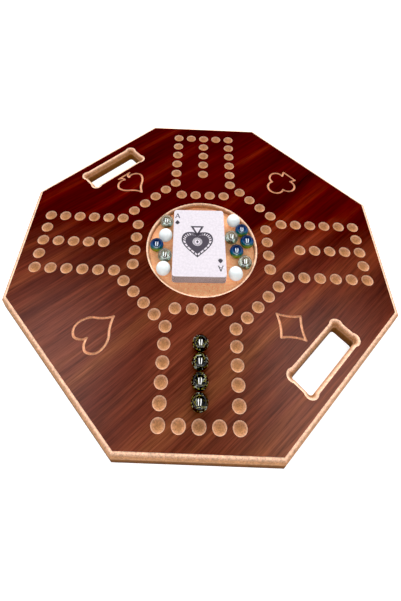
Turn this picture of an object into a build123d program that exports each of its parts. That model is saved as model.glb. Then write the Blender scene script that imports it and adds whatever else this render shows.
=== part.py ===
from build123d import *
import math
import os

# Lengths are in millimetres and angles in degrees. The origin is the centre of the board's
# underside: +X runs to the right, +Y away from the player at the front, +Z up.

# The board: one panel of MDF with a dark wood-grain laminate bonded to its top.
BOARD_WIDTH = 404.0  # across opposite straight sides
BOARD_THICKNESS = 18.0  # core and laminate together
CORNER_CUT = 130.5  # leg of the triangle cut off each corner of the square
LAMINATE_THICKNESS = 0.4
EDGE_ROUND = 4.0  # round-over that bares the core along the rim and around the hand slots
UNDERSIDE_CHAMFER = 0.6
BOARD_TOP = BOARD_THICKNESS
CORE_TOP = BOARD_THICKNESS - LAMINATE_THICKNESS

# Marble dimples: a lane of them runs round four arms, with a home column and a base row in each.
MARBLE_RADIUS = 7.75
DIMPLE_MOUTH_RADIUS = 6.45
DIMPLE_DEPTH = 3.9
PITCH = 17.0  # between neighbouring dimples along an arm
LANE_HALF_WIDTH = 34.7  # from an arm's centre line to the dimples down either side
ARM_END = 178.7  # from the board's centre to the row across an arm's end
ARM_SIDE_COUNT = 6  # dimples down one side of an arm, its corner included
ARM_END_COUNT = 5  # dimples across an arm's end, both corners included
DIAGONAL_COUNT = 4  # dimples between one arm's side and the next arm's
HOME_COUNT = 4
BASE_COUNT = 4
BASE_PITCH = 17.5
BASE_DISTANCE = 74.8  # from the board's centre to a base row
ARM_ANGLES = (0, 90, 180, 270)  # the first arm points away from the front player
FRONT_ARM = 180

# The round recess that holds the cards and the marbles out of play.
RECESS_RADIUS = 59.4  # at the wall, below the round-over
RECESS_DEPTH = 6.4
RECESS_ROUND = 3.0
RECESS_FLOOR = BOARD_TOP - RECESS_DEPTH

# Two hand slots go right through, along two opposite cut corners.
SLOT_LENGTH = 72.2
SLOT_WIDTH = 23.0
SLOT_CORNER_RADIUS = 3.0
SLOT_DISTANCE = 165.6  # from the board's centre to a slot's centre
SLOT_ANGLES = (-45, 135)
SLOT_FLARE = 1.2  # how far the round-over cutter ran past each corner

# Suit outlines, routed as a groove.
GROOVE_WIDTH = 2.4
GROOVE_DEPTH = 1.6
SUIT_NEAR = 126.3  # distance from the centre of a suit that shares its corner with a slot
SUIT_FAR = 141.5
TOWARDS_CENTRE = 90  # turn that points an outline's top at the board's centre
OUTWARDS = -90

# The pack of cards, lying a little askew in the recess.
CARD_WIDTH = 58.0
CARD_LENGTH = 88.0
CARD_THICKNESS = 0.24
CARD_CORNER_RADIUS = 3.2
CARD_LAYERS = {"diamond_cards": 13, "club_cards": 13, "heart_cards": 13, "spade_cards": 12}
PACK_CENTRE = (-3.4, 1.6)
PACK_TURN = 1.4
CARD_STRAY = 0.22  # how far a card strays from a squared-up pack
CARD_STRAY_STEPS = (2.4, 1.7)  # phase from one card to the next, across and along

# Where the loose marbles lie on the recess floor, from the board's centre.
LOOSE_MARBLES = {
    "white": ((-41.8, 11.6), (-41.3, -31.3), (36.7, 35.9), (36.7, -34.2)),
    "clear": ((-41.8, 30.9), (-40.8, -15.0), (33.8, 12.0), (47.6, -19.9)),
    "blue": ((-50.7, -1.9), (45.9, 22.4), (51.2, 7.1), (38.8, -6.3)),
}
MARBLE_CLEARANCE = 0.1  # air under a marble, so that it only just touches its seat


def octagon(inset):
    """The board's outline, drawn in from its edge by inset."""
    half = BOARD_WIDTH / 2 - inset
    corner = BOARD_WIDTH / 2 - CORNER_CUT + inset * (1 - math.sqrt(2))
    points = []
    for sign_x, sign_y in ((1, 1), (-1, 1), (-1, -1), (1, -1)):
        pair = [(sign_x * half, sign_y * corner), (sign_x * corner, sign_y * half)]
        points += pair if sign_x == sign_y else pair[::-1]
    return make_face(Polyline(*points, close=True))


def turned(point, angle):
    """A point in plan, turned about the board's centre."""
    return Vector(*point).rotate(Axis.Z, angle)


def home_points():
    """The dimples of one arm's home column."""
    return [(0, ARM_END - PITCH * (place + 1)) for place in range(HOME_COUNT)]


def base_points():
    """The dimples of the base row between the recess and one arm."""
    start = -BASE_PITCH * (BASE_COUNT - 1) / 2
    return [(start + BASE_PITCH * place, BASE_DISTANCE) for place in range(BASE_COUNT)]


def lane_points():
    """One quarter of the lane: an arm's end, its two sides and the diagonal to the next arm."""
    step = 2 * LANE_HALF_WIDTH / (ARM_END_COUNT - 1)
    across = [(step * place - LANE_HALF_WIDTH, ARM_END) for place in range(ARM_END_COUNT)]
    sides = [
        (side * LANE_HALF_WIDTH, ARM_END - PITCH * place)
        for side in (-1, 1)
        for place in range(1, ARM_SIDE_COUNT)
    ]
    foot = ARM_END - PITCH * (ARM_SIDE_COUNT - 1)
    run = (foot - LANE_HALF_WIDTH) / (DIAGONAL_COUNT + 1)
    diagonal = [
        (LANE_HALF_WIDTH + run * place, foot - run * place)
        for place in range(1, DIAGONAL_COUNT + 1)
    ]
    return across + sides + diagonal


def dimples():
    """The ball-nosed cutter at every dimple of the board."""
    cutter_radius = (DIMPLE_MOUTH_RADIUS**2 + DIMPLE_DEPTH**2) / (2 * DIMPLE_DEPTH)
    height = BOARD_TOP - DIMPLE_DEPTH + cutter_radius
    points = lane_points() + home_points() + base_points()
    places = [turned(point, angle) for angle in ARM_ANGLES for point in points]
    return [Pos(place.X, place.Y, height) * Sphere(cutter_radius) for place in places]


def mirrored_outline(edges):
    """A face between a chain of edges on the right of the Y axis and its mirror image."""
    half = Wire(edges)
    return make_face(half.edges() + mirror(half, about=Plane.YZ).edges())


def spade_outline():
    """A spade with its point upwards, on a short flared foot."""
    return mirrored_outline([
        Line((0, -17.9), (8.5, -17.9)),
        ThreePointArc((8.5, -17.9), (5.0, -16.4), (3.2, -14.0)),
        Line((3.2, -14.0), (3.2, -11.9)),
        ThreePointArc((3.2, -11.9), (13.6, -11.3), (17.5, -4.9)),
        ThreePointArc((17.5, -4.9), (15.0, 1.2), (9.6, 6.4)),
        ThreePointArc((9.6, 6.4), (3.6, 12.0), (0, 18.5)),
    ])


def heart_outline():
    """A heart with its point downwards."""
    return mirrored_outline([
        ThreePointArc((0, -19.9), (4.2, -12.9), (9.4, -7.3)),
        ThreePointArc((9.4, -7.3), (15.6, -1.0), (18.2, 7.4)),
        ThreePointArc((18.2, 7.4), (16.0, 16.0), (9.2, 20.0)),
        ThreePointArc((9.2, 20.0), (3.6, 17.4), (0, 11.6)),
    ])


def club_outline():
    """A club with its stem downwards."""
    return mirrored_outline([
        Line((0, -18.9), (9.4, -18.9)),
        Line((9.4, -18.9), (6.5, -12.2)),
        ThreePointArc((6.5, -12.2), (17.9, -3.5), (9.0, 5.4)),
        ThreePointArc((9.0, 5.4), (7.6, 15.6), (0, 19.1)),
    ])


def diamond_outline():
    """A diamond with slightly hollow sides, upright."""
    return mirrored_outline([
        ThreePointArc((0, -18.3), (6.7, -8.1), (15.6, 0)),
        ThreePointArc((15.6, 0), (6.7, 8.1), (0, 18.3)),
    ])


def suits():
    """The four suit outlines in place, each as the flat shape of its groove."""
    layout = (
        (spade_outline(), 135, SUIT_NEAR, TOWARDS_CENTRE),
        (club_outline(), 45, SUIT_FAR, TOWARDS_CENTRE),
        (heart_outline(), 225, SUIT_FAR, OUTWARDS),
        (diamond_outline(), -45, SUIT_NEAR, TOWARDS_CENTRE),
    )
    grooves = []
    for shape, angle, distance, turn in layout:
        outer = offset(shape, GROOVE_WIDTH / 2, kind=Kind.ARC)
        inner = offset(shape, -GROOVE_WIDTH / 2, kind=Kind.ARC)
        grooves.append(Rot(0, 0, angle) * Pos(distance, 0) * Rot(0, 0, turn) * (outer - inner))
    return grooves


def slot_places():
    """Where each hand slot's own frame stands, with its length along X."""
    return [Rot(0, 0, angle) * Pos(SLOT_DISTANCE, 0) * Rot(0, 0, 90) for angle in SLOT_ANGLES]


def slot_corners():
    """Centres of the round-over cutter where it ran past each corner of a hand slot."""
    reach_x = SLOT_LENGTH / 2 - SLOT_CORNER_RADIUS + SLOT_FLARE
    reach_y = SLOT_WIDTH / 2 - SLOT_CORNER_RADIUS + SLOT_FLARE
    return GridLocations(2 * reach_x, 2 * reach_y, 2, 2)


def slot_mouth():
    """A hand slot's outline in the laminate, where the round-over ends."""
    radius = SLOT_CORNER_RADIUS + EDGE_ROUND
    mouth = RectangleRounded(SLOT_LENGTH + 2 * EDGE_ROUND, SLOT_WIDTH + 2 * EDGE_ROUND, radius)
    return mouth + [place * Circle(radius) for place in slot_corners()]


def round_over_cutter():
    """The spinning shape of the round-over cutter, on the Z axis."""
    low = CORE_TOP - EDGE_ROUND
    radius = SLOT_CORNER_RADIUS + EDGE_ROUND
    bow = EDGE_ROUND * math.sqrt(0.5)
    profile = Plane.XZ * make_face([
        Line((0, low), (SLOT_CORNER_RADIUS, low)),
        ThreePointArc((SLOT_CORNER_RADIUS, low), (radius - bow, low + bow), (radius, CORE_TOP)),
        Line((radius, CORE_TOP), (0, CORE_TOP)),
        Line((0, CORE_TOP), (0, low)),
    ])
    return revolve(profile, Axis.Z)


def core_blank():
    """The core with its recess and hand slots, and every top edge rounded over."""
    slot = RectangleRounded(SLOT_LENGTH, SLOT_WIDTH, SLOT_CORNER_RADIUS)
    flat = octagon(0) - [place * slot for place in slot_places()]
    blank = extrude(flat, CORE_TOP)
    recess = Cylinder(RECESS_RADIUS, CORE_TOP, align=(Align.CENTER, Align.CENTER, Align.MIN))
    blank -= Pos(0, 0, RECESS_FLOOR) * recess
    blank = chamfer(blank.faces().sort_by(Axis.Z)[0].outer_wire().edges(), UNDERSIDE_CHAMFER)
    top_edges = blank.faces().sort_by(Axis.Z)[-1].edges()
    recess_edge = top_edges.filter_by(GeomType.CIRCLE).sort_by(SortBy.RADIUS)[-1]
    others = [edge for edge in top_edges if edge != recess_edge]
    blank = fillet(others, EDGE_ROUND)
    top_edges = blank.faces().sort_by(Axis.Z)[-1].edges()
    recess_edge = top_edges.filter_by(GeomType.CIRCLE).sort_by(SortBy.RADIUS)[-1]
    return fillet(recess_edge, RECESS_ROUND)


def board_core(cutters, grooves):
    """The MDF core with everything that is routed into it."""
    flares = [
        place * corner * round_over_cutter()
        for place in slot_places()
        for corner in slot_corners()
    ]
    floor = BOARD_TOP - GROOVE_DEPTH
    channels = [extrude(Pos(0, 0, floor) * groove, GROOVE_DEPTH) for groove in grooves]
    return core_blank() - flares - channels - cutters


def top_laminate(cutters, grooves):
    """The dark laminate, open wherever a cutter went through it."""
    face = octagon(EDGE_ROUND) - [place * slot_mouth() for place in slot_places()]
    face -= Circle(RECESS_RADIUS + RECESS_ROUND)
    face -= grooves
    return extrude(Pos(0, 0, CORE_TOP) * face, LAMINATE_THICKNESS) - cutters


def card(layer):
    """One playing card in its place in the pack, counted from the bottom."""
    stray_x = CARD_STRAY * math.sin(CARD_STRAY_STEPS[0] * layer)
    stray_y = CARD_STRAY * math.cos(CARD_STRAY_STEPS[1] * layer)
    face = RectangleRounded(CARD_WIDTH, CARD_LENGTH, CARD_CORNER_RADIUS)
    height = RECESS_FLOOR + CARD_THICKNESS * layer
    place = Pos(*PACK_CENTRE, height) * Rot(0, 0, PACK_TURN) * Pos(stray_x, stray_y)
    return extrude(place * face, CARD_THICKNESS)


def card_nodes():
    """The pack from the bottom up: one node for each suit, and the ace of spades on top."""
    nodes = {}
    layer = 0
    for name, count in CARD_LAYERS.items():
        nodes[name] = Compound(children=[card(layer + place) for place in range(count)])
        layer += count
    nodes["ace_of_spades"] = card(layer)
    return nodes


def marble_nodes():
    """Twelve loose marbles on the recess floor, and four black ones in the front home column."""
    nodes = {}
    floor_height = RECESS_FLOOR + MARBLE_RADIUS + MARBLE_CLEARANCE
    for colour, places in LOOSE_MARBLES.items():
        for number, place in enumerate(places, 1):
            nodes[f"{colour}_marble_{number}"] = Pos(*place, floor_height) * Sphere(MARBLE_RADIUS)
    seat_height = BOARD_TOP + math.sqrt(MARBLE_RADIUS**2 - DIMPLE_MOUTH_RADIUS**2)
    for number, point in enumerate(home_points(), 1):
        place = turned(point, FRONT_ARM)
        ball = Pos(place.X, place.Y, seat_height + MARBLE_CLEARANCE) * Sphere(MARBLE_RADIUS)
        nodes[f"black_marble_{number}"] = ball
    return nodes


cutters = dimples()
grooves = suits()
nodes = {"board_core": board_core(cutters, grooves)}
nodes["top_laminate"] = top_laminate(cutters, grooves)
nodes.update(card_nodes())
nodes.update(marble_nodes())

os.makedirs("parts", exist_ok=True)
for name, shape in nodes.items():
    export_step(shape, f"parts/{name}.step")
    print(name, len(shape.solids()), round(shape.volume))
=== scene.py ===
import math

import bmesh
import bpy
from mathutils import Matrix, Vector
from mathutils.geometry import tessellate_polygon


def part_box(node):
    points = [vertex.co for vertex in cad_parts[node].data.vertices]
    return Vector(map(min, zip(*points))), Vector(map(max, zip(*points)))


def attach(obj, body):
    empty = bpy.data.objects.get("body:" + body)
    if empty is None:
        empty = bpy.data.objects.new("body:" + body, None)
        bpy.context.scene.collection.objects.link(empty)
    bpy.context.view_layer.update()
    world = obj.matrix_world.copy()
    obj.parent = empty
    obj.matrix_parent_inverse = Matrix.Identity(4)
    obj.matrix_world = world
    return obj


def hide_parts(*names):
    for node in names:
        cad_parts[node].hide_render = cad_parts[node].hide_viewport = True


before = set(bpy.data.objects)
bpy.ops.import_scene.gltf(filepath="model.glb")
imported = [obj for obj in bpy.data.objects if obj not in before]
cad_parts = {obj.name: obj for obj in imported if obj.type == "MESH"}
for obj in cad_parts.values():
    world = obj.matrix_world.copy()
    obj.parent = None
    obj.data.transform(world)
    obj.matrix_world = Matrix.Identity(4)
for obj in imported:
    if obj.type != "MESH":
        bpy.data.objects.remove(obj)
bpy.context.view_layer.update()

# Everything is in metres, in the frame of the CAD model: the board's underside is at z = 0.
BOARD_LOW, BOARD_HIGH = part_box("board_core")
BOARD_WIDTH = BOARD_HIGH.x - BOARD_LOW.x

# Camera: where it stands, how it is turned in degrees, and its lens in millimetres. The shift keeps
# the strong convergence of a wide lens that stood close to the board and looked over its far side.
CAMERA_PLACE = (-0.0158, -0.2974, 0.4536)
CAMERA_YAW = 0.56
CAMERA_PITCH = -42.39
CAMERA_ROLL = 2.82
CAMERA_LENS = 27.25
CAMERA_SHIFT = (0.0079, -0.27)
SENSOR_WIDTH = 36.0

# Lights. Two long ceiling panels show in glossy surfaces only, one each side of the board. Their
# limits in X and in Y are per metre of height. The other two light matt surfaces only: the main one
# from behind the board, which gives shape to the routed wood, and a fill from in front.
PANEL_HEIGHT = 6.0
PANEL_ACROSS = (0.19, 0.42)
PANEL_AWAY = (-1.30, 0.50)
PANEL_RADIANCE = 3.2
BACK_PLACE = (0.0, 4.4, 3.6)
BACK_SIZE = (7.0, 2.4)
BACK_RADIANCE = 7.2
FILL_PLACE = (0.0, -2.5, 4.5)
FILL_SIZE = (4.0, 4.0)
FILL_RADIANCE = 2.9

# Floor and sky
FLOOR_SIZE = 24.0
FLOOR_GLOW = 0.85  # light of its own near the board; further out it is 1, as the horizon is
FLOOR_FADE = (0.1, 0.5)  # where that changes, in half widths of the floor
SKY_HIGH = 0.06
SKY_HORIZON = 1.0
SKY_FADE = (0.20, 0.42)  # upward share of the direction where the white ends and the dim begins

# Picture
DEEPEST = 0.007  # light at or under this comes out black

# Laminate
GRAIN_ANGLE = 42.0  # direction of the grain in plan, from +X
PAINTED_SHEEN_WAY = (0.0, -1.0 / BOARD_WIDTH, 0.0)  # the way the laminate turns lighter and browner with painted sheen: to the front
PAINTED_SHEEN_LIMITS = (0.30, 0.72)  # where it is all maroon and all brown with painted sheen, in board widths from the back

# Marbles
MARBLE_DETAIL = 5  # subdivisions of each ball
MARBLE_RADIUS = (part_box("blue_marble_1")[1].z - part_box("blue_marble_1")[0].z) / 2
MARBLE_TURN = 2.4  # radians from one marble to the next, so that no two show the same flecks
TURNED_MARBLES = ("white", "black")  # the other marbles' colours have a front and a back: they hold painted light from the lights behind and above
MARBLE_SWIRL = 0.003  # how far the swirls in a blue or clear marble push its colours up
MARBLE_LEAN = math.radians(40)  # how far its colours lean back, towards the lights, as they hold painted light
MARBLE_AXIS = (  # along it a marble goes from -0.5 at its low front pole to 0.5 at the opposite one
    0.0,
    math.sin(MARBLE_LEAN) / (2 * MARBLE_RADIUS),
    math.cos(MARBLE_LEAN) / (2 * MARBLE_RADIUS),
)
COAT_IOR = 4.0  # a strong coat, so that the panels show as bright bars
SOFT_IOR = 1.35  # under the coat of dark glass, so that its sides stay dark
GLASS_IOR = 1.5
SHINE_FADE = (0.07, 0.17)  # where the coat's strength falls off: 0 faces the eye, 1 is edge on

# Printing on the top card
INK_HEIGHT = 0.00004  # above the card
MILLIMETRE = 0.001
CARD_TURN = math.radians(1.4)  # how far the pack is turned in the recess
ACE_MIDDLE = (-2.0, -4.0)  # middle of the large spade, in millimetres from the card's centre
ACE_HUB = (-2.0, -0.5)  # middle of the rings in it
INDEX_PLACES = ((1, -25.0, 35.5), (-1, 23.0, -34.0))  # which way up, and where


# ---------------------------------------------------------------- shader helpers

def colour(red, green, blue):
    """Linear colour from the usual 0 to 255 display values."""
    def linear(value):
        value /= 255
        return value / 12.92 if value <= 0.04045 else ((value + 0.055) / 1.055) ** 2.4
    return (linear(red), linear(green), linear(blue), 1.0)


# Sockets of the mix node when it mixes colours: their names are the same as those for numbers.
MIX_FIRST = 6
MIX_SECOND = 7
MIX_RESULT = 2


class Shader:
    """One material with a principled shader, and short ways of adding the nodes that feed it."""

    def __init__(self, name):
        self.material = bpy.data.materials.new(name)
        self.material.use_nodes = True
        self.tree = self.material.node_tree
        self.tree.nodes.clear()
        self.principled = self.tree.nodes.new("ShaderNodeBsdfPrincipled")
        output = self.tree.nodes.new("ShaderNodeOutputMaterial")
        self.link(self.principled.outputs["BSDF"], output.inputs["Surface"])

    def link(self, source, target):
        """Joins an output socket to an input socket."""
        self.tree.links.new(source, target)

    def put(self, socket, value):
        """Links an output to a socket, or sets the socket's own value."""
        if isinstance(value, bpy.types.NodeSocket):
            self.link(value, socket)
        else:
            socket.default_value = value

    def set(self, **values):
        """Sets or links the principled shader's inputs, named with underscores for spaces."""
        for name, value in values.items():
            self.put(self.principled.inputs[name.replace("_", " ")], value)
        return self

    def place(self):
        """Where the shaded point is on its object."""
        return self.tree.nodes.new("ShaderNodeTexCoord").outputs["Object"]

    def turned(self, vector, angle):
        """The vector turned about Z by an angle in degrees."""
        node = self.tree.nodes.new("ShaderNodeVectorRotate")
        node.rotation_type = "Z_AXIS"
        self.link(vector, node.inputs["Vector"])
        node.inputs["Angle"].default_value = math.radians(angle)
        return node.outputs["Vector"]

    def along(self, vector, direction):
        """How far along a direction the point is, with 0.5 at the middle of its object."""
        node = self.tree.nodes.new("ShaderNodeVectorMath")
        node.operation = "DOT_PRODUCT"
        self.link(vector, node.inputs[0])
        node.inputs[1].default_value = direction
        return self.maths("ADD", node.outputs["Value"], 0.5)

    def stretched(self, vector, stretch):
        """The vector multiplied by three factors, for a pattern that is longer one way."""
        node = self.tree.nodes.new("ShaderNodeVectorMath")
        node.operation = "MULTIPLY"
        self.link(vector, node.inputs[0])
        node.inputs[1].default_value = stretch
        return node.outputs["Vector"]

    def added(self, vector, other):
        """The sum of two vectors."""
        node = self.tree.nodes.new("ShaderNodeVectorMath")
        self.link(vector, node.inputs[0])
        self.put(node.inputs[1], other)
        return node.outputs["Vector"]

    def noise(self, vector, scale, detail=3.0, roughness=0.5, output="Fac", distortion=0.0):
        """A cloudy pattern, with the scale in repeats per metre."""
        node = self.tree.nodes.new("ShaderNodeTexNoise")
        self.link(vector, node.inputs["Vector"])
        node.inputs["Scale"].default_value = scale
        node.inputs["Detail"].default_value = detail
        node.inputs["Roughness"].default_value = roughness
        node.inputs["Distortion"].default_value = distortion
        return node.outputs[output]

    def ramp(self, value, *stops):
        """A colour for each value: stops are (position, colour or grey level)."""
        node = self.tree.nodes.new("ShaderNodeValToRGB")
        self.link(value, node.inputs["Fac"])
        elements = node.color_ramp.elements
        while len(elements) < len(stops):
            elements.new(0.5)
        for element, (position, shade) in zip(elements, stops):
            element.position = position
            element.color = shade if isinstance(shade, tuple) else (shade, shade, shade, 1.0)
        return node.outputs["Color"]

    def mix(self, factor, first, second, blend="MIX"):
        """Two colours mixed, or blended in another way."""
        node = self.tree.nodes.new("ShaderNodeMix")
        node.data_type = "RGBA"
        node.blend_type = blend
        self.put(node.inputs["Factor"], factor)
        self.put(node.inputs[MIX_FIRST], first)
        self.put(node.inputs[MIX_SECOND], second)
        return node.outputs[MIX_RESULT]

    def maths(self, operation, first, second=0.0):
        """The result of an operation on one or two numbers."""
        node = self.tree.nodes.new("ShaderNodeMath")
        node.operation = operation
        self.put(node.inputs[0], first)
        self.put(node.inputs[1], second)
        return node.outputs["Value"]

    def height(self, vector):
        """The vector's Z."""
        parts = self.tree.nodes.new("ShaderNodeSeparateXYZ")
        self.link(vector, parts.inputs["Vector"])
        return parts.outputs["Z"]

    def facing_up(self):
        """The upward share of the surface's normal: 1 on a flat top, 0 on an upright wall."""
        geometry = self.tree.nodes.new("ShaderNodeNewGeometry")
        parts = self.tree.nodes.new("ShaderNodeSeparateXYZ")
        self.link(geometry.outputs["True Normal"], parts.inputs["Vector"])
        return parts.outputs["Z"]

    def facing_shine(self, middle, edge):
        """A gloss level that is strongest where the surface faces the eye and falls off round it."""
        layer = self.tree.nodes.new("ShaderNodeLayerWeight")
        near, far = SHINE_FADE
        return self.ramp(layer.outputs["Facing"], (near, middle), (far, edge))

    def bump(self, height, strength, distance):
        """Fine relief from a pattern, with the distance in metres."""
        node = self.tree.nodes.new("ShaderNodeBump")
        node.inputs["Strength"].default_value = strength
        node.inputs["Distance"].default_value = distance
        self.link(height, node.inputs["Height"])
        self.link(node.outputs["Normal"], self.principled.inputs["Normal"])


# ---------------------------------------------------------------- materials

def laminate_material():
    """Dark mahogany-look laminate: long straight grain, maroon at the back, lighter and browner in
    front with a painted sheen.
    """
    shader = Shader("laminate")
    here = shader.place()
    flat = shader.turned(here, -GRAIN_ANGLE)
    sway = shader.noise(shader.stretched(flat, (2.2, 7.0, 1.0)), 1.0, 2.0, 0.5, "Color")
    swayed = shader.added(flat, shader.stretched(sway, (0.0, 0.035, 0.0)))
    bands = shader.noise(shader.stretched(swayed, (2.0, 34.0, 1.0)), 1.0, 2.0, 0.5)
    streaks = shader.noise(shader.stretched(swayed, (7.0, 230.0, 1.0)), 1.0, 4.0, 0.6)
    fibres = shader.noise(shader.stretched(swayed, (40.0, 1100.0, 1.0)), 1.0, 3.0, 0.6)
    maroon = shader.ramp(
        bands,
        (0.34, colour(60, 0, 2)),
        (0.52, colour(76, 2, 2)),
        (0.72, colour(112, 26, 10)),
    )
    # A lighter, greyer brown: painted sheen, used towards the front.
    painted_sheen_brown = shader.ramp(
        bands,
        (0.34, colour(97, 43, 30)),
        (0.50, colour(119, 59, 40)),
        (0.66, colour(146, 82, 50)),
    )
    # Maroon at the back gives way to the painted sheen in front.
    forward = shader.along(shader.added(here, shader.stretched(sway, (0.06, 0.06, 0.0))), PAINTED_SHEEN_WAY)
    back, front = PAINTED_SHEEN_LIMITS
    toned = shader.mix(shader.ramp(forward, (back, 0.0), (front, 1.0)), maroon, painted_sheen_brown)
    narrow = shader.ramp(streaks, (0.32, 0.70), (0.50, 0.98), (0.68, 1.26))
    toned = shader.mix(1.0, toned, narrow, "MULTIPLY")
    lines = shader.noise(shader.stretched(swayed, (16.0, 520.0, 1.0)), 1.0, 3.0, 0.6)
    toned = shader.mix(1.0, toned, shader.ramp(lines, (0.34, 0.76), (0.66, 1.22)), "MULTIPLY")
    boards = shader.noise(shader.stretched(swayed, (3.0, 11.0, 1.0)), 1.0, 2.0, 0.6)
    toned = shader.mix(1.0, toned, shader.ramp(boards, (0.38, 0.74), (0.62, 1.12)), "MULTIPLY")
    pores = shader.ramp(fibres, (0.38, 0.55), (0.50, 1.0))
    shader.set(
        Base_Color=shader.mix(0.7, toned, pores, "MULTIPLY"),
        Roughness=shader.ramp(streaks, (0.3, 0.24), (0.7, 0.18)),
        Specular_IOR_Level=0.23,
    )
    shader.bump(fibres, 0.08, 0.0001)
    return shader.material


def mdf_material():
    """Routed MDF: tan and finely flecked, with painted light and shade by height: palest near the
    board's face, darker and browner low down.
    """
    shader = Shader("mdf")
    here = shader.place()
    flecks = shader.noise(here, 700.0, 4.0, 0.75)
    clouds = shader.noise(here, 260.0, 3.0, 0.6)
    height = shader.maths("DIVIDE", shader.height(here), BOARD_HIGH.z)
    # Painted light and shade by height: pale at the face, darker and browner down the hollows, slots
    # and walls.
    painted_light_and_shade_by_height = shader.ramp(
        height,
        (0.00, colour(90, 50, 10)),
        (0.35, colour(114, 68, 20)),
        (0.54, colour(138, 86, 36)),
        (0.64, colour(190, 140, 104)),
        (0.80, colour(190, 136, 90)),
        (0.91, colour(204, 150, 112)),
        (1.00, colour(246, 202, 172)),
    )
    # Level spots, from low to high, with painted light and shade: the recess floor painted pale
    # against the deck's shadow, the dimples duller with painted shade, and the groove floors and rims
    # painted pale.
    level = shader.ramp(shader.facing_up(), (0.80, 0.0), (0.98, 1.0))
    painted_light_and_shade_on_level = shader.ramp(height, (0.66, 2.3), (0.70, 0.84), (0.84, 0.90), (0.90, 1.35))
    shaded = shader.mix(level, painted_light_and_shade_by_height, shader.mix(1.0, painted_light_and_shade_by_height, painted_light_and_shade_on_level, "MULTIPLY"))
    grain = shader.ramp(flecks, (0.34, 0.58), (0.5, 0.98), (0.66, 1.34))
    drift = shader.ramp(clouds, (0.3, 0.80), (0.7, 1.16))
    toned = shader.mix(0.8, shaded, grain, "MULTIPLY")
    shader.set(
        Base_Color=shader.mix(1.0, toned, drift, "MULTIPLY"),
        Roughness=0.86,
        Specular_IOR_Level=0.2,
    )
    shader.bump(flecks, 0.35, 0.0003)
    return shader.material


def card_material():
    """Coated card, slightly lavender, with brownish cut edges that show its layers."""
    shader = Shader("card")
    here = shader.place()
    linen = shader.noise(here, 420.0, 2.0, 0.5)
    layers = shader.noise(shader.stretched(here, (40.0, 40.0, 4200.0)), 1.0, 2.0, 0.6)
    edge = shader.ramp(layers, (0.3, colour(112, 82, 56)), (0.7, colour(160, 122, 88)))
    face = shader.ramp(linen, (0.3, colour(226, 218, 226)), (0.7, colour(240, 232, 240)))
    up = shader.maths("ABSOLUTE", shader.facing_up())
    shader.set(
        Base_Color=shader.mix(shader.ramp(up, (0.4, 0.0), (0.6, 1.0)), edge, face),
        Roughness=0.42,
        Coat_Weight=0.15,
        Coat_Roughness=0.25,
    )
    shader.bump(linen, 0.05, 0.0002)
    return shader.material


def ink_material():
    """Dark grey printing ink with a faint uneven coverage."""
    shader = Shader("ink")
    cover = shader.noise(shader.place(), 2600.0, 2.0, 0.6)
    shader.set(
        Base_Color=shader.ramp(cover, (0.3, colour(62, 56, 66)), (0.7, colour(84, 76, 88))),
        Roughness=0.5,
    )
    return shader.material


def opal_material():
    """Opaque white glass, faintly blue, with a faint painted glow."""
    shader = Shader("opal_glass")
    swirl = shader.noise(shader.place(), 260.0, 3.0, 0.5)
    shader.set(
        Base_Color=shader.ramp(swirl, (0.3, colour(238, 247, 248)), (0.7, colour(250, 253, 253))),
        Roughness=0.22,
        Specular_IOR_Level=0.35,
        # A faint glow of its own: painted light that keeps the white bright.
        Emission_Color=(0.94, 1.0, 1.0, 1.0),
        Emission_Strength=0.13,
    )
    return shader.material


def glassy(shader, shine, ior=GLASS_IOR):
    """The bright polished surface that every marble but the white ones has."""
    return shader.set(
        Roughness=0.03,
        IOR=ior,
        Coat_Weight=shine,
        Coat_IOR=COAT_IOR,
        Coat_Roughness=0.02,
    )


def swirled_level(shader):
    """0 at a marble's low front pole and 1 at its high back one, with swirls in between."""
    here = shader.place()
    swirl = shader.noise(here, 200.0, 2.0, 0.5, "Color", distortion=1.0)
    swayed = shader.added(here, shader.stretched(swirl, (0.0, 0.0, MARBLE_SWIRL)))
    return shader.along(swayed, MARBLE_AXIS)


def clear_material():
    """Clear glass, silvery with a painted highlight towards its high back, with a greener and duller
    lower side: its own green tint darkened with painted shade.
    """
    shader = Shader("clear_glass")
    glassy(shader, shader.facing_shine(1.0, 0.35)).set(
        # Colour by height: a painted highlight high up, painted shade low down.
        Base_Color=shader.ramp(
            swirled_level(shader),
            (0.34, colour(60, 96, 66)),
            (0.54, colour(150, 186, 176)),
            (0.78, colour(246, 252, 251)),
        ),
        Transmission_Weight=0.95,
    )
    return shader.material


def blue_material():
    """Deep blue glass that turns teal and then green lower down, with painted light, a bright
    yellow-green, at its low front.
    """
    shader = Shader("blue_glass")
    glassy(shader, shader.facing_shine(1.0, 0.06), SOFT_IOR).set(
        Base_Color=shader.ramp(
            swirled_level(shader),
            # The bright yellow-green low down is painted light, gathered through the glass.
            (0.30, colour(150, 172, 44)),
            (0.46, colour(16, 130, 116)),
            (0.64, colour(14, 100, 168)),
            (0.82, colour(8, 54, 120)),
            (1.00, colour(4, 26, 70)),
        ),
        Transmission_Weight=0.25,
    )
    return shader.material


def black_material():
    """Black glass with a few yellow-green and silvery flecks under its surface."""
    shader = Shader("black_glass")
    here = shader.place()
    patches = shader.noise(here, 270.0, 1.0, 0.5, distortion=1.8)
    tint = shader.noise(here, 260.0, 1.0, 0.5)
    fleck = shader.ramp(
        tint,
        (0.42, colour(120, 108, 24)),
        (0.54, colour(168, 158, 66)),
        (0.62, colour(170, 178, 168)),
    )
    glassy(shader, shader.facing_shine(1.0, 0.02), SOFT_IOR).set(
        Base_Color=shader.mix(shader.ramp(patches, (0.57, 0.0), (0.61, 1.0)), colour(2, 2, 3), fleck),
    )
    return shader.material


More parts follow.
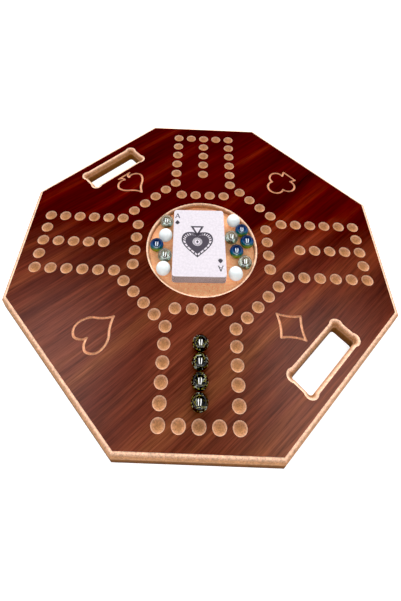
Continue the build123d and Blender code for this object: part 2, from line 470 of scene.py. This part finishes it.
def floor_material():
    """Matt white studio floor, lit from within further out so that it meets the white horizon."""
    shader = Shader("studio_floor")
    here = shader.place()
    weave = shader.noise(here, 300.0, 2.0, 0.5)
    distance = shader.tree.nodes.new("ShaderNodeVectorMath")
    distance.operation = "LENGTH"
    shader.link(here, distance.inputs[0])
    outward = shader.maths("DIVIDE", distance.outputs["Value"], FLOOR_SIZE / 2)
    near, far = FLOOR_FADE
    edge = shader.ramp(outward, (near, 0.0), (far, 1.0))
    shader.set(
        Base_Color=shader.mix(edge, shader.ramp(weave, (0.3, 0.52), (0.7, 0.54)), (0, 0, 0, 1)),
        Roughness=0.9,
        Specular_IOR_Level=0.0,
        Emission_Color=(1.0, 1.0, 1.0, 1.0),
        Emission_Strength=shader.ramp(outward, (near, FLOOR_GLOW), (far, 1.0)),
    )
    return shader.material


# ---------------------------------------------------------------- pieces

def mesh_object(name, shape, material):
    """A new object with one material, made from a bmesh."""
    mesh = bpy.data.meshes.new(name)
    shape.to_mesh(mesh)
    shape.free()
    mesh.materials.append(material)
    made = bpy.data.objects.new(name, mesh)
    bpy.context.scene.collection.objects.link(made)
    return made


def dress(node, material):
    """Gives a CAD node its material."""
    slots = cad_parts[node].data.materials
    slots.clear()
    slots.append(material)


def make_marble(node, material, turn):
    """A finely divided ball that stands for a CAD marble and moves with its body."""
    low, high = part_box(node)
    shape = bmesh.new()
    bmesh.ops.create_icosphere(shape, subdivisions=MARBLE_DETAIL, radius=MARBLE_RADIUS)
    for face in shape.faces:
        face.smooth = True
    ball = mesh_object(f"{node}_glass", shape, material)
    ball.location = (low + high) / 2
    ball.rotation_euler = (0, 0, turn)
    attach(ball, node)
    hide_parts(node)


# ---------------------------------------------------------------- the top card's printing

def curve(start, control_a, control_b, end, steps=10):
    """Points along a cubic curve, without its last one."""
    points = []
    for step in range(steps):
        t = step / steps
        weights = ((1 - t) ** 3, 3 * t * (1 - t) ** 2, 3 * t * t * (1 - t), t ** 3)
        corners = (start, control_a, control_b, end)
        points.append(tuple(sum(w * c[i] for w, c in zip(weights, corners)) for i in (0, 1)))
    return points


def leaf(width, height):
    """The body of a spade, tip down, in a box of that width and height round (0, 0)."""
    half, top, tip = width / 2, height / 2, -height / 2
    notch = (0.0, top - 0.10 * height)
    crown = (0.46 * half, top)
    side = (half, top - 0.30 * height)
    right = curve(notch, (0.10 * half, top - 0.02 * height), (0.24 * half, top), crown)
    right += curve(crown, (0.80 * half, top), (half, top - 0.12 * height), side)
    right += curve(side, (half, top - 0.56 * height), (0.30 * half, tip + 0.16 * height), (0.0, tip))
    left = [(-x, y) for x, y in reversed(right[1:])]
    return right + [(0.0, tip)] + left


def ring(radius, steps=40):
    """Points round a circle."""
    return [
        (radius * math.cos(2 * math.pi * n / steps), radius * math.sin(2 * math.pi * n / steps))
        for n in range(steps)
    ]


def moved(outline, x, y, turn=1):
    """The outline at another place; a turn of -1 puts it upside down."""
    return [(x + turn * a, y + turn * b) for a, b in outline]


def stroke(start, end, width):
    """A straight bar from one point to another."""
    run = Vector(end) - Vector(start)
    side = Vector((-run.y, run.x)).normalized() * width / 2
    corners = (Vector(start) - side, Vector(end) - side, Vector(end) + side, Vector(start) + side)
    return [tuple(corner) for corner in corners]


def index_marks():
    """The corner index, in millimetres round (0, 0): the letter A with a small spade under it."""
    foot, top = -3.2, 3.2
    outlines = [
        stroke((-2.3, foot), (0.0, top), 0.8),
        stroke((2.3, foot), (0.0, top), 1.1),
        stroke((-1.4, -1.1), (1.4, -1.1), 0.7),
        stroke((-3.1, foot), (-1.5, foot), 0.7),
        stroke((1.5, foot), (3.1, foot), 0.7),
        moved(leaf(5.0, 5.0), 0, -9.0, -1),
        [(-1.3, -12.3), (1.3, -12.3), (0.4, -9.8), (-0.4, -9.8)],
    ]
    return [[outline] for outline in outlines]


def ace_marks():
    """The ace's printing, in millimetres from its centre: each mark is an outline and its holes."""
    def body(width, height):
        return moved(leaf(width, height), *ACE_MIDDLE)

    def hub(outline):
        return moved(outline, *ACE_HUB)

    marks = [
        [body(35.5, 33.5), body(32.0, 30.0)],
        [body(27.0, 25.0), hub(ring(5.4))],
        [hub(ring(4.8)), hub(ring(4.3))],
        [hub(ring(3.6)), hub(ring(3.1))],
        [hub([(0, 2.2), (1.6, 0), (0, -2.2), (-1.6, 0)])],
        [
            [(-9.8, 21.0), (5.8, 21.0), (-0.5, 9.6), (-3.5, 9.6)],
            [(-6.2, 19.0), (2.2, 19.0), (-1.7, 11.6), (-2.3, 11.6)],
        ],
    ]
    for near, far in zip(body(27.5, 25.5)[::2], body(32.5, 30.5)[::2]):
        marks.append([stroke(near, far, 1.4)])
    for turn, x, y in INDEX_PLACES:
        for outlines in index_marks():
            marks.append([moved(outline, x, y, turn) for outline in outlines])
    return marks


def make_ace_print():
    """The ink on the top card: thin flat shapes that lie on it and move with it."""
    low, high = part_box("ace_of_spades")
    centre = (low + high) / 2
    place = Matrix.Translation((centre.x, centre.y, high.z + INK_HEIGHT))
    lie = place @ Matrix.Rotation(CARD_TURN, 4, "Z") @ Matrix.Scale(MILLIMETRE, 4)
    shape = bmesh.new()
    for outlines in ace_marks():
        corners = [[Vector((x, y, 0)) for x, y in outline] for outline in outlines]
        made = [shape.verts.new(lie @ corner) for outline in corners for corner in outline]
        for triangle in tessellate_polygon(corners):
            face = shape.faces.new([made[n] for n in triangle])
            face.normal_update()
            if face.normal.z < 0:
                face.normal_flip()
    printed = mesh_object("ace_print", shape, ink_material())
    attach(printed, "top_card")


# ---------------------------------------------------------------- stage

def make_floor():
    """The studio floor that the board lies on."""
    shape = bmesh.new()
    bmesh.ops.create_grid(shape, x_segments=8, y_segments=8, size=FLOOR_SIZE / 2)
    floor = mesh_object("floor", shape, floor_material())


def make_light(name, place, size, radiance, glossy):
    """A soft rectangular light, facing down, that only glossy or only matt surfaces see."""
    data = bpy.data.lights.new(name, "AREA")
    data.shape = "RECTANGLE"
    data.size, data.size_y = size
    data.energy = radiance * math.pi * data.size * data.size_y
    light = bpy.data.objects.new(name, data)
    bpy.context.scene.collection.objects.link(light)
    light.location = place
    light.visible_camera = False
    light.visible_glossy = glossy
    light.visible_transmission = glossy
    light.visible_diffuse = not glossy
    return light


def aim(light):
    """Turns a light to face the board."""
    light.rotation_euler = (-light.location).to_track_quat("-Z", "Y").to_euler()


def make_sky():
    """A plain studio round the board, white low down and dim higher up."""
    world = bpy.data.worlds.new("studio")
    bpy.context.scene.world = world
    world.use_nodes = True
    tree = world.node_tree
    direction = tree.nodes.new("ShaderNodeTexCoord")
    parts = tree.nodes.new("ShaderNodeSeparateXYZ")
    fade = tree.nodes.new("ShaderNodeMapRange")
    fade.interpolation_type = "SMOOTHSTEP"
    fade.inputs["From Min"].default_value, fade.inputs["From Max"].default_value = SKY_FADE
    fade.inputs["To Min"].default_value = SKY_HORIZON
    fade.inputs["To Max"].default_value = SKY_HIGH
    background = tree.nodes["Background"]
    background.inputs["Color"].default_value = (1, 1, 1, 1)
    tree.links.new(direction.outputs["Generated"], parts.inputs["Vector"])
    tree.links.new(parts.outputs["Z"], fade.inputs["Value"])
    tree.links.new(fade.outputs["Result"], background.inputs["Strength"])


def make_lights():
    """The ceiling panels, the back light, the fill light and the sky."""
    size = [PANEL_HEIGHT * (limits[1] - limits[0]) for limits in (PANEL_ACROSS, PANEL_AWAY)]
    middle = [PANEL_HEIGHT * sum(limits) / 2 for limits in (PANEL_ACROSS, PANEL_AWAY)]
    for name, side in (("panel_left", -1), ("panel_right", 1)):
        make_light(name, (side * middle[0], middle[1], PANEL_HEIGHT), size, PANEL_RADIANCE, True)
    aim(make_light("back_light", BACK_PLACE, BACK_SIZE, BACK_RADIANCE, False))
    aim(make_light("fill_light", FILL_PLACE, FILL_SIZE, FILL_RADIANCE, False))
    make_sky()


def make_camera():
    """The camera, turned from facing +Y by its yaw, pitch and roll."""
    data = bpy.data.cameras.new("camera")
    data.sensor_width = SENSOR_WIDTH
    data.lens = CAMERA_LENS
    data.shift_x, data.shift_y = CAMERA_SHIFT
    data.clip_start = 0.01
    data.dof.use_dof = False
    camera = bpy.data.objects.new("camera", data)
    bpy.context.scene.collection.objects.link(camera)
    yaw, pitch, roll = (math.radians(x) for x in (CAMERA_YAW, CAMERA_PITCH, CAMERA_ROLL))
    turn = Matrix.Rotation(-yaw, 4, "Z") @ Matrix.Rotation(math.pi / 2 + pitch, 4, "X")
    camera.matrix_world = Matrix.Translation(CAMERA_PLACE) @ turn @ Matrix.Rotation(roll, 4, "Z")
    bpy.context.scene.camera = camera


def grade_picture():
    """Plain display colours with slightly deepened shadows, as in a product photograph."""
    view = bpy.context.scene.view_settings
    view.view_transform = "Standard"
    view.use_curve_mapping = True
    view.curve_mapping.black_level = (DEEPEST,) * 3
    view.curve_mapping.update()


make_camera()
make_lights()
make_floor()
grade_picture()

dress("board_core", mdf_material())
dress("top_laminate", laminate_material())
card = card_material()
for node in ("diamond_cards", "club_cards", "heart_cards", "spade_cards", "ace_of_spades"):
    dress(node, card)

glass = {
    "white": opal_material(),
    "clear": clear_material(),
    "blue": blue_material(),
    "black": black_material(),
}
marbles = sorted(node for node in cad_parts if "_marble_" in node)
for number, node in enumerate(marbles):
    kind = node.split("_")[0]
    make_marble(node, glass[kind], MARBLE_TURN * number if kind in TURNED_MARBLES else 0.0)

make_ace_print()
